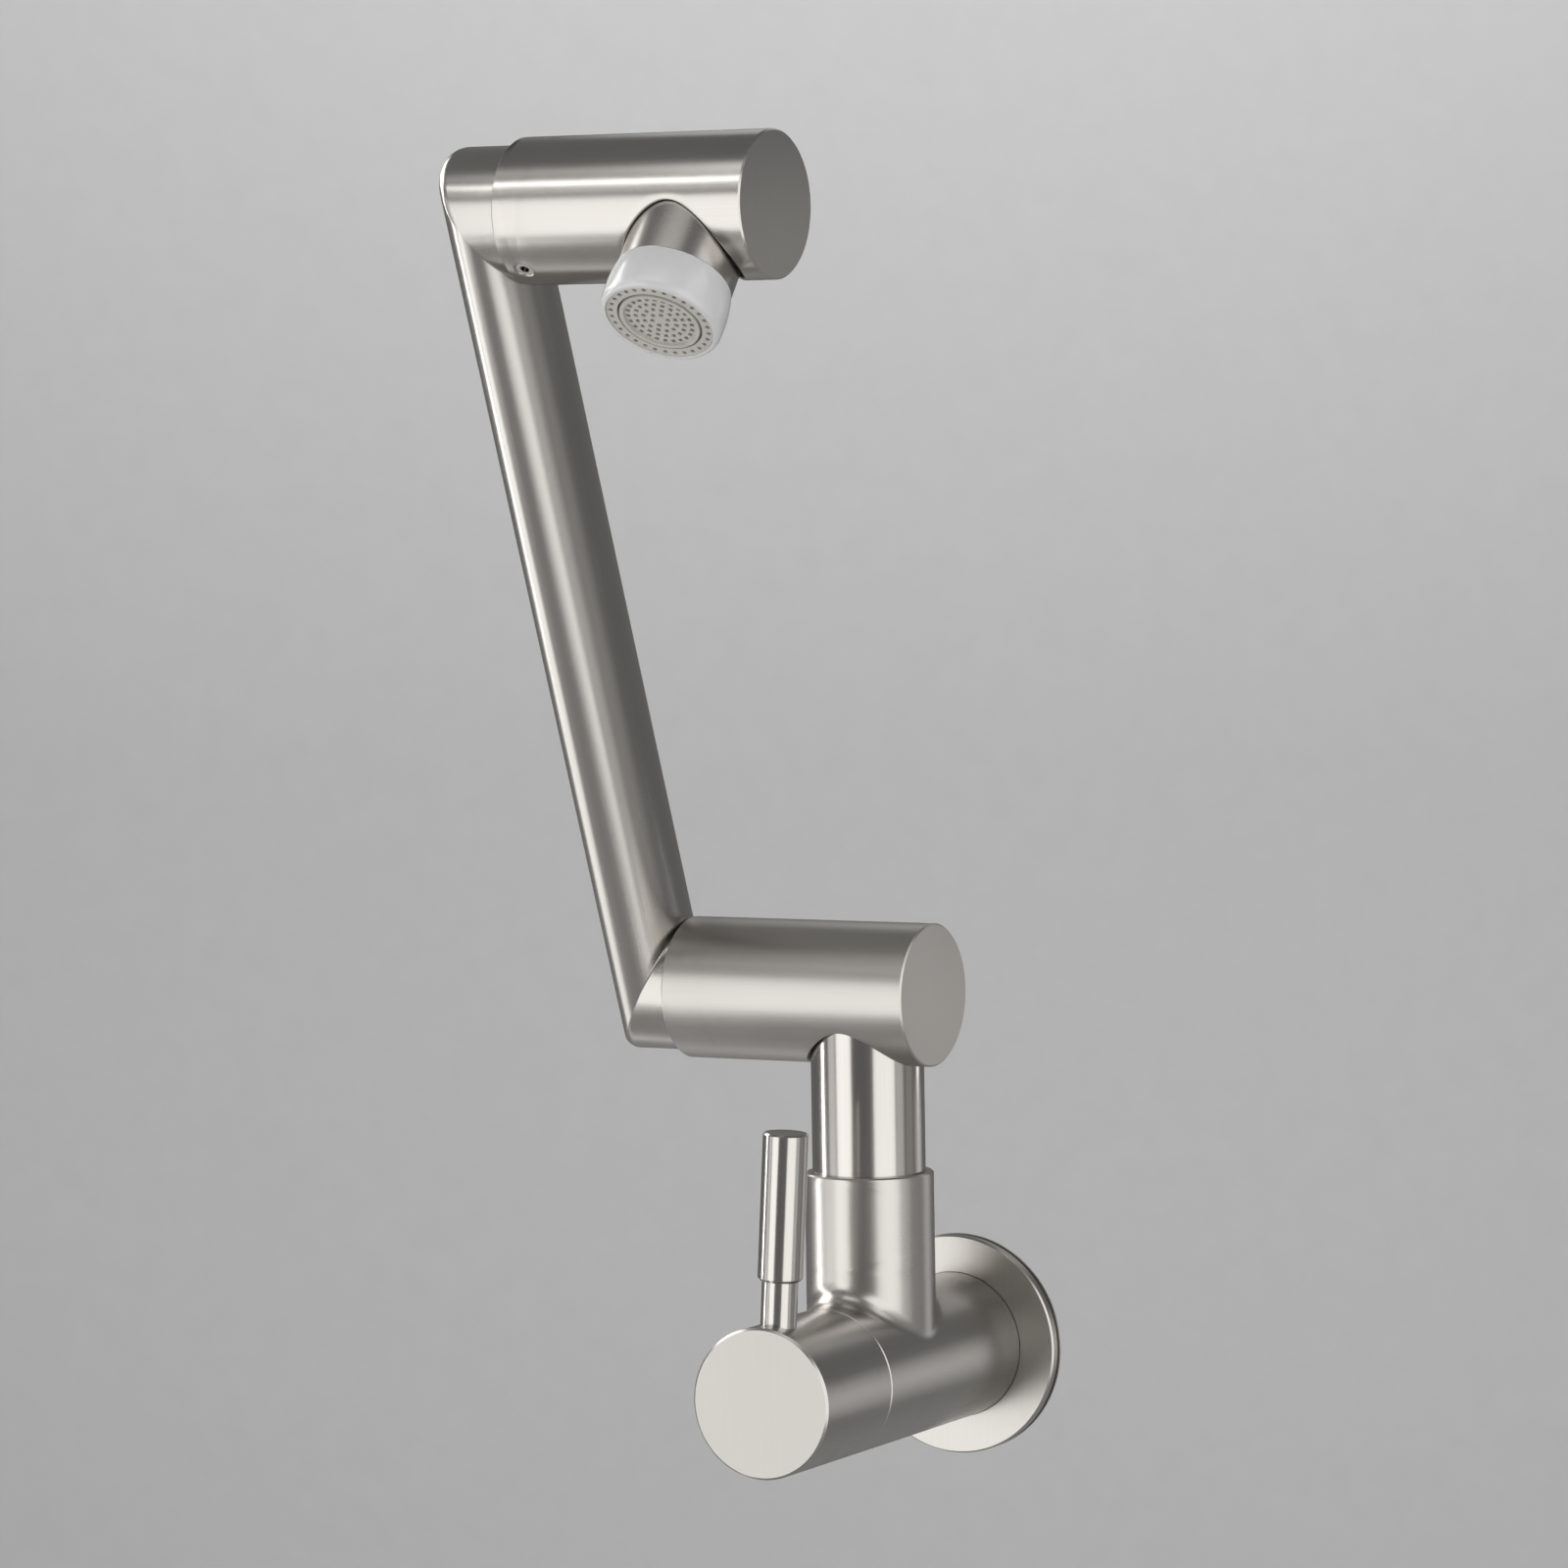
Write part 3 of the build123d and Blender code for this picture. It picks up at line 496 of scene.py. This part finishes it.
# %% Barrels and end discs
BARREL_R, BARREL_LEFT, BARREL_RIGHT, BARREL_WELD, BARREL_SPLIT = 16.0, -43.9, 16.9, 14.4, -33.0
BRANCH_HOLE, BRANCH_LIP, CORE_R = 13.3, 0.4, 13.05
SCREW_X, SCREW_ANGLE, SCREW_FLOOR = -39.7, 36.0, 13.1
PIVOT_R, PIVOT_TO = 13.0, -15.6
NOZZLE_HOLE_ANGLE = 34.5
SPIGOT_R, SPIGOT_TO = 12.97, BARREL_WELD - 2


def barrel(bar, branch_x, branch_angle, screw_angle):
    """Grids of a barrel: screw stretch, branch stretch, and the two ends."""
    stretch = BARREL_LEFT + EDGE_BEVEL
    screw = (SCREW_X, screw_angle, SCREW_HOLE, SCREW_LIP, SCREW_FLOOR)
    branch = (branch_x, branch_angle, BRANCH_HOLE, BRANCH_LIP, CORE_R)
    left = turned(bar, (
        (BARREL_R, stretch), (BARREL_R - EDGE_BEVEL, BARREL_LEFT), (PIVOT_R, BARREL_LEFT),
        (PIVOT_R, PIVOT_TO), (0, PIVOT_TO),
    ))
    return [
        *holed(bar, BARREL_R, stretch, BARREL_SPLIT, *screw),
        *holed(bar, BARREL_R, BARREL_SPLIT, BARREL_WELD, *branch),
        left,
        turned(bar, ((BARREL_R, BARREL_WELD), (0, BARREL_WELD))),
    ]


disc_face = ((0, BARREL_RIGHT), (BARREL_R - EDGE_BEVEL, BARREL_RIGHT))
disc_rest = (
    (BARREL_R - EDGE_BEVEL, BARREL_RIGHT), (BARREL_R, BARREL_RIGHT - EDGE_BEVEL), (BARREL_R, BARREL_WELD),
    (SPIGOT_R, BARREL_WELD), (SPIGOT_R, SPIGOT_TO), (0, SPIGOT_TO),
)
add_skin("lower_barrel", {soft_steel: barrel(LOWER, 0, 0, 180 + SCREW_ANGLE)})
add_skin("upper_barrel", {barrel_steel: barrel(UPPER, NOZZLE_X, NOZZLE_HOLE_ANGLE, SCREW_ANGLE)})
add_skin("lower_end_disc", {soft_steel: [turned(LOWER, disc_rest)], matt_steel: [turned(LOWER, disc_face)]})
add_skin("upper_end_disc", {barrel_steel: [turned(UPPER, disc_rest)], face_steel: [turned(UPPER, disc_face)]})

# %% [markdown]
# ## The riser and the nozzle tube
# Both are plain tubes whose inner end is cut to the round core inside a barrel. The cut follows from the
# core's circle: the height is the root of the core's radius squared less the sideways distance squared.

# %% Riser and nozzle tube
CORE_CUT = 13.17
RISER_R, RISER_BORE, RISER_TO, RISER_BEVEL = 12.7, 10.2, 62.5, 0.3
NOZZLE_R, NOZZLE_BORE, NOZZLE_TO, NOZZLE_BEVEL = 12.6, 10.0, 20.8, 0.2


def saddle_tube(branch, outer, inner, end, bevel):
    """A tube from a round core to a plain end, walked round its wall: out, over the end, and back."""
    angle = np.linspace(0, 360, 2 * ROUND + 1)
    across = np.sin(np.radians(angle))
    start_out = np.sqrt(CORE_CUT ** 2 - (outer * across) ** 2)
    start_in = np.sqrt(CORE_CUT ** 2 - (inner * across) ** 2)
    plain = np.full_like(angle, end)
    along = np.stack((start_out, plain - bevel, plain, plain, start_in, start_out))
    radius = np.array((outer, outer, outer - bevel, inner, inner, outer))[:, None]
    return branch.at(radius, along, angle[None, :])


riser_grid = saddle_tube(RISER, RISER_R, RISER_BORE, RISER_TO, RISER_BEVEL)
nozzle_grid = saddle_tube(NOZZLE, NOZZLE_R, NOZZLE_BORE, NOZZLE_TO, NOZZLE_BEVEL)
add_skin("riser_tube", {pipe_steel: [riser_grid]})
add_skin("nozzle_tube", {valve_steel: [nozzle_grid]})

# %% [markdown]
# ## The folding arm
# The arm is an oval tube that turns into a round stub at each end. At one angle round its wall, the path
# is a stub, a corner and the oval's side, so the whole skin is that path carried round. The outer corner
# is rounded like a polished mitre, and the inner one keeps a small weld radius.

# %% Folding arm
ARM_X, HALF_X, HALF_Y, STUB_TO = -52.75, 8.35, 14.3, 8.37
OUTER_ROUND, INNER_ROUND = 3.0, 0.8
ARM = Bar((ARM_X, -TEE_OUT, LOWER_Z), UP_ARM, (1, 0, 0), (0, np.cos(ARM_LEAN), np.sin(ARM_LEAN)))


def arm_path(columns=160, bend_steps=10):
    """Rows along the path, columns round the wall.

    At angle a the oval is at x = half width times cos a, and the stub at z = half depth times cos a. A
    quarter circle joins them, with a radius that shrinks with cos a, so it fades out at the sides.
    """
    turn = np.linspace(0, 2 * np.pi, columns + 1)
    c = np.cos(turn)
    radius = np.where(c < 0, -OUTER_ROUND * c, np.minimum(INNER_ROUND * c, STUB_TO - HALF_X * c))
    bend = np.linspace(0, np.pi / 2, bend_steps)[:, None]
    bend_x = HALF_X * c + radius * (1 - np.sin(bend))
    bend_z = HALF_Y * c + radius * (1 - np.cos(bend))
    stub_x = STUB_TO + 0 * c
    half_x = np.concatenate((stub_x[None], stub_x[None], bend_x))
    half_z = np.concatenate((0 * c[None], HALF_Y * c[None], bend_z))
    depth = HALF_Y * np.sin(turn) * np.concatenate(((0,), np.ones(bend_steps + 1)))[:, None]
    x = np.concatenate((half_x, half_x[::-1]))
    z = np.concatenate((half_z, ARM_LENGTH - half_z[::-1]))
    return ARM.put(x, np.concatenate((depth, depth[::-1])), z)


add_skin("arm_tube", {arm_steel: [arm_path()]})

# %% [markdown]
# ## The aerator's housing
# A glossy white cup screws into the nozzle. Its skirt swells a little and then draws in to the lip: a
# quarter of a sine wave, followed by a rounded-square curve.

# %% Aerator housing
SKIRT_FROM, SKIRT_AT, SKIRT_TO = 20.85, 26.4, 31.4
SKIRT_START, SKIRT_R, LIP_R = 12.75, 13.4, 12.3
SLEEVE_FROM, SLEEVE_R, WATERWAY_R = 17.2, 9.95, 8.6
SEAT_R, SEAT_AT = 11.9, 29.2


def skirt_outline():
    """Radius and place: first a sine's rise, then cos a outward against sin a to the power 2/5 along."""
    rise = np.linspace(0, np.pi / 2, 8)[:-1]
    draw = np.linspace(0, np.pi / 2, 16)
    swell = SKIRT_START + (SKIRT_R - SKIRT_START) * np.sin(rise)
    radius = np.concatenate((swell, LIP_R + (SKIRT_R - LIP_R) * np.cos(draw)))
    start = SKIRT_FROM + (SKIRT_AT - SKIRT_FROM) * rise / (np.pi / 2)
    along = np.concatenate((start, SKIRT_AT + (SKIRT_TO - SKIRT_AT) * np.sin(draw) ** 0.4))
    return np.stack((radius, along), axis=-1)


housing_outline = np.concatenate((
    ((WATERWAY_R, SLEEVE_FROM), (SLEEVE_R, SLEEVE_FROM), (SLEEVE_R, SKIRT_FROM)), skirt_outline(),
    ((SEAT_R, SKIRT_TO), (SEAT_R, SEAT_AT), (WATERWAY_R, SEAT_AT), (WATERWAY_R, SLEEVE_FROM)),
))


def moulded_plastic(name, dark, light, gloss, coat):
    """Moulded plastic: a faint mottle in its colour and gloss, and the shallow waves of the mould."""
    finish = Finish(bpy.data.materials.new(name))
    mottle = finish.noise(0.004)
    wave = finish.noise(0.012, detail=0.0)
    return finish.surface(
        Base_Color=finish.blend(mottle, dark, light),
        Roughness=gloss + 0.04 * (mottle - 0.5),
        Coat_Weight=coat,
        Coat_Roughness=0.12,
        Normal=finish.bump(wave, 0.05, 0.0001),
    )


white_gloss = moulded_plastic("white_gloss", (0.81, 0.81, 0.81), (0.85, 0.85, 0.85), 0.25, 0.5)
add_skin("aerator_housing", {white_gloss: [turned(NOZZLE, housing_outline)]})

# %% [markdown]
# ## The inlet nipple
# Behind the flange a brass nipple screws into the wall. Its thread is a helix: the radius follows a wave
# of the distance along less the share of a turn, so one turn moves the wave on by one pitch.

# %% Threaded inlet nipple
THREAD_R, THREAD_DEPTH, PITCH_MM, BEHIND = 10.48, 1.16, 1.814, 14.0
NIPPLE_BORE, NIPPLE_INNER, NIPPLE_TO = 5.5, 10.3, 22.0
METAL_GRAIN = 0.0003


def nipple():
    """The threaded skin, and the plain rest of the nipple walked round its wall."""
    angle = np.linspace(0, 360, ROUND + 1)[None, :]
    along = np.linspace(-BEHIND, 0, 110)[:, None]
    wave = 0.5 + 0.5 * np.cos(2 * np.pi * (along / PITCH_MM - angle / 360))
    depth = THREAD_DEPTH * np.clip(-along / PITCH_MM, 0, 1)
    radius = np.minimum(THREAD_R - depth * wave, THREAD_R - THREAD_DEPTH + along + BEHIND)
    thread = INLET.at(radius, along, angle)
    end = np.concatenate((INLET.at(NIPPLE_BORE, -BEHIND, angle), thread[:1]))
    rest = turned(INLET, (
        (THREAD_R, 0), (NIPPLE_INNER, 0), (NIPPLE_INNER, NIPPLE_TO), (NIPPLE_BORE, NIPPLE_TO),
        (NIPPLE_BORE, -BEHIND),
    ))
    return [thread, end, rest]


def turned_metal(name, dark, light, gloss):
    """Metal straight from the lathe or the screw machine: fine grain, a little tarnish."""
    finish = Finish(bpy.data.materials.new(name))
    grain = finish.noise(METAL_GRAIN)
    tarnish = finish.noise(0.006)
    return finish.surface(
        Base_Color=finish.blend(tarnish, dark, light),
        Metallic=1.0,
        Roughness=gloss + 0.15 * (grain - 0.5) + 0.15 * (tarnish - 0.5),
        Normal=finish.bump(grain, 0.2, 0.00002),
    )


lathe_brass = turned_metal("lathe_brass", (0.62, 0.44, 0.17), (0.80, 0.62, 0.30), 0.32)
add_skin("inlet_nipple", {lathe_brass: nipple()})

# %% [markdown]
# ## The small and inner pieces
# Screws, seals, rings, discs and the aerator's plates keep their packed shapes. Each slot gets a finish of
# its own, because the screws, the gasket and the plates can be seen. A screw's socket is black on the real
# faucet, where no light gets in, so the screws' colour is painted black close to their own axis: painted
# shade in the socket.

# %% Finishes for the packed pieces


def soft_rubber(name):
    """Black rubber: nearly no gloss, with a fine dusty grain."""
    finish = Finish(bpy.data.materials.new(name))
    dust = finish.noise(0.0006)
    return finish.surface(
        Base_Color=finish.blend(dust, (0.018, 0.018, 0.018), (0.05, 0.05, 0.05)),
        Roughness=0.7 + 0.2 * (dust - 0.5),
        Normal=finish.bump(dust, 0.3, 0.00005),
    )


HEX_FLAT, HEX_EDGE = 1.00, 1.08


def screw_with_painted_socket_shade(name, axis):
    """Bright steel with painted shade in the socket: black by the distance from the screw's own axis.

    That distance is the length of the cross product of the way along with the point less the start.
    """
    finish = Finish(bpy.data.materials.new(name))
    place = finish.node("ShaderNodeTexCoord", {}, {}, "Object")
    off = finish.node("ShaderNodeVectorMath", {"operation": "SUBTRACT"}, {0: place, 1: axis.start * MM})
    area = finish.node("ShaderNodeVectorMath", {"operation": "CROSS_PRODUCT"}, {0: off, 1: axis.along})
    distance = finish.node("ShaderNodeVectorMath", {"operation": "LENGTH"}, {0: area}, "Value")
    # Painted shade: the colour turns black within this distance of the axis, where the socket's shade falls.
    face = finish.node("ShaderNodeMapRange", {}, {
        "Value": distance, "From Min": HEX_FLAT * MM, "From Max": HEX_EDGE * MM,
    })
    grain = finish.noise(METAL_GRAIN)
    return finish.surface(
        Base_Color=finish.blend(face, (0.012, 0.012, 0.012), (0.86, 0.85, 0.83)),
        Metallic=1.0,
        Roughness=0.45 + 0.1 * (grain - 0.5),
        Normal=finish.bump(grain, 0.2, 0.00002),
    )


SLOT_FINISH = {
    "satin_steel": valve_steel,
    "screw_steel": turned_metal("bright_screw", (0.60, 0.59, 0.57), (0.76, 0.75, 0.73), 0.26),
    "turned_brass": lathe_brass,
    "black_rubber": soft_rubber("dull_rubber"),
    "bearing_plastic": moulded_plastic("plain_plastic", (0.70, 0.69, 0.65), (0.84, 0.83, 0.79), 0.5, 0.0),
    "disc_ceramic": moulded_plastic("lapped_ceramic", (0.88, 0.87, 0.85), (0.94, 0.93, 0.91), 0.2, 0.3),
    "white_plastic": white_gloss,
    "face_plastic": moulded_plastic("cream_plastic", (0.60, 0.58, 0.53), (0.70, 0.68, 0.63), 0.42, 0.1),
}
NODE_FINISH = {
    # The screens are painted near black: painted shade for the inside of the aerator's holes.
    "aerator_screens": turned_metal("mesh_in_painted_shade", (0.04, 0.04, 0.035), (0.10, 0.10, 0.09), 0.5),
    "upper_pivot_screw": screw_with_painted_socket_shade("upper_screw", UPPER.branch(SCREW_X, SCREW_ANGLE)),
    "lower_pivot_screw": screw_with_painted_socket_shade("lower_screw", LOWER.branch(SCREW_X, 180 + SCREW_ANGLE)),
    "handle_grub_screw": screw_with_painted_socket_shade("handle_screw", INLET.branch(GRUB_OUT, GRUB_ANGLE)),
    "riser_lock_screw": screw_with_painted_socket_shade("riser_screw", TEE.branch(LOCK_Z, 180)),
}
for node, thing in frame["nodes"].items():
    thing.data.materials.clear()
    thing.data.materials.append(NODE_FINISH.get(node) or SLOT_FINISH[SLOT_OF[node]])
print("finished slots", sorted(SLOT_FINISH))

# %% [markdown]
# ## Floor and light
# The faucet hangs above a pale floor that sweeps up all round, because it has nothing to stand on. Steel
# shows its surroundings more than its own colour, so the room is a quiet grey, a little lighter below, and
# the floor is kept out of reflections: it would draw a bright line along every edge. The other light comes
# from soft boxes, as in a product studio. Wide ones stand all round, and a narrow strip on the left draws a
# line down the pipes. The last ones look at one piece each: the upper barrel, the nozzle, an end disc or
# the cap. Most of these have a grid, which narrows the beam, so that little of it falls elsewhere.

# %% Floor that sweeps up all round
FLOOR_Z, FLOOR_R, SWEEP_R, WALL_TOP = -0.95, 2.0, 0.9, 2.2
finish = Finish(bpy.data.materials.new("pale_floor"))
grain = finish.noise(0.02)
pale_floor = finish.surface(
    Base_Color=finish.blend(grain, (0.61, 0.61, 0.61), (0.65, 0.65, 0.65)),
    Roughness=0.75 + 0.1 * (grain - 0.5),
)


def sweep():
    """A pale bowl: flat, then a quarter circle up, then an upright wall, carried once round."""
    bend = np.linspace(0, np.pi / 2, 24)
    radius = np.concatenate(((0,), FLOOR_R + SWEEP_R * np.sin(bend), (FLOOR_R + SWEEP_R,)))
    height = np.concatenate(((FLOOR_Z,), FLOOR_Z + SWEEP_R * (1 - np.cos(bend)), (WALL_TOP,)))
    return turned(Bar((0, 0, 0), (0, 0, 1), (1, 0, 0), (0, 1, 0)), np.stack((radius, height), -1) / MM)


floor_mesh, _ = welded_mesh("floor", {pale_floor: [sweep()]})
floor = bpy.data.objects.new("floor", floor_mesh)
floor.visible_glossy = False
SCENE.collection.objects.link(floor)
print("floor at", FLOOR_Z)

# %% Grey room
ROOM_GREY, LOW_GREY = (0.16, 0.16, 0.16), (0.30, 0.30, 0.30)
BELOW_FROM, BELOW_TO = -0.1, -0.7
room = Finish(bpy.data.worlds.new("room"), "Background")
look = room.node("ShaderNodeTexCoord", {}, {}, "Generated")
upward = room.node("ShaderNodeSeparateXYZ", {}, {"Vector": look}, "Z")
below = room.node("ShaderNodeMapRange", {"interpolation_type": "SMOOTHSTEP"}, {
    "Value": upward, "From Min": BELOW_FROM, "From Max": BELOW_TO,
})
SCENE.world = room.surface(Color=room.blend(below, ROOM_GREY, LOW_GREY))
print("room", ROOM_GREY[0], "and", LOW_GREY[0], "below")

# %% A soft box
MIDDLE = np.array((-0.02, -0.06, 0.13))
WIDE_OPEN = 180


def toward(azimuth, elevation):
    """Unit direction: azimuth 0 is in front of the faucet and 90 to its right, elevation is upward."""
    a, e = np.radians((azimuth, elevation))
    return np.array((np.sin(a) * np.cos(e), -np.cos(a) * np.cos(e), np.sin(e)))


def soft_box(name, place, facing, width, height, glow, beam=WIDE_OPEN):
    """A rectangular light at a place, facing a direction.

    Glow is the brightness that its middle shows, and beam is the angle in degrees that a grid leaves open.
    A grid of slats passes the share 1 - tan x / tan h at an angle x, with h half of the beam, and the
    renderer keeps the power, so the middle gains tan h / (tan h - h).
    """
    back = -facing
    right = np.cross((0, 0, 1), back)
    right /= np.linalg.norm(right)
    half = np.radians(beam) / 2
    gain = np.tan(half) / (np.tan(half) - half)
    light = bpy.data.lights.new(name, "AREA")
    light.shape = "RECTANGLE"
    light.size = width
    light.size_y = height
    light.spread = 2 * half
    light.energy = glow * np.pi * width * height / gain
    lamp = bpy.data.objects.new(name, light)
    lamp.visible_camera = False
    stand(lamp, (right, np.cross(back, right), back), place)


def faucet_light(name, azimuth, elevation, distance, width, height, glow, target=MIDDLE, beam=WIDE_OPEN):
    """A soft box that looks at one point of the faucet: degrees, then metres, then the glow."""
    out = toward(azimuth, elevation)
    soft_box(name, target + distance * out, -out, width, height, glow, beam)


print("wide lights look at", MIDDLE)

# %% Soft boxes all round
faucet_light("front_box", -22, -5, 1.2, 0.69, 1.10, 1.52)
faucet_light("front_side", -50, -5, 1.2, 0.36, 1.10, 0.65)
faucet_light("left_strip", -76, 2, 1.2, 0.11, 1.10, 7.0)
faucet_light("left_low", -68, -28, 0.9, 0.80, 0.35, 1.2)
faucet_light("left_high", -98, 29, 1.2, 0.90, 0.50, 3.6)
faucet_light("right_box", 62, 2, 1.2, 1.00, 1.50, 1.35)
faucet_light("right_side", 96, -1, 1.2, 0.36, 0.95, 0.48)
faucet_light("right_back", 120, -2, 1.2, 0.40, 0.90, 0.16)
faucet_light("right_high", 98, 37, 1.2, 0.75, 0.42, 1.0)
faucet_light("top_front", 8, 60, 1.2, 0.80, 0.36, 0.85)
faucet_light("back_box", 188, 36, 1.3, 1.10, 0.60, 0.42)
WASH_AT, WASH_FACING = np.array((-0.2, 0.5, 1.9)), toward(208, -25)
soft_box("backdrop_wash", WASH_AT, WASH_FACING, 0.8, 0.5, 53, beam=100)
print("wide lights", len(bpy.data.lights))

# %% Lights for one piece
BARREL_MIDDLE, TUBE_OUT, CAP_OUT = -16, 20, 70
BARREL_AT = UPPER.put(0, 0, BARREL_MIDDLE) * MM
NOZZLE_AT = NOZZLE.put(0, 0, TUBE_OUT) * MM
DISC_AT = UPPER.put(0, 0, BARREL_RIGHT) * MM
LOW_DISC_AT = LOWER.put(0, 0, BARREL_RIGHT) * MM
CAP_AT = INLET.put(0, 0, CAP_OUT) * MM
faucet_light("top_strip", -37, 34, 1.1, 1.20, 0.08, 9.5, BARREL_AT, 16)
faucet_light("strip_fill", -33, 25, 1.1, 1.20, 0.20, 1.1, BARREL_AT, 18)
faucet_light("top_soft", -48, 48, 1.1, 1.00, 0.27, 0.7, BARREL_AT, 23)
faucet_light("low_strip", -119, -57, 1.1, 1.00, 0.12, 0.6, BARREL_AT)
faucet_light("nozzle_soft", -10, 56, 0.25, 0.20, 0.09, 0.6, NOZZLE_AT)
faucet_light("disc_glow", 151, -4, 0.3, 0.05, 0.06, 0.9, DISC_AT, 18)
faucet_light("low_disc_glow", 151, -4, 0.3, 0.05, 0.06, 4.5, LOW_DISC_AT, 14)
faucet_light("cap_glow", 151, -5, 0.25, 0.14, 0.12, 0.7, CAP_AT, 36)
SCENE.view_settings.view_transform = "Standard"

# %% [markdown]
# ## Sizes
# The dressed model should fill the packed model's box: each skin's box is held against its node's box as it
# is added, and the difference is printed.
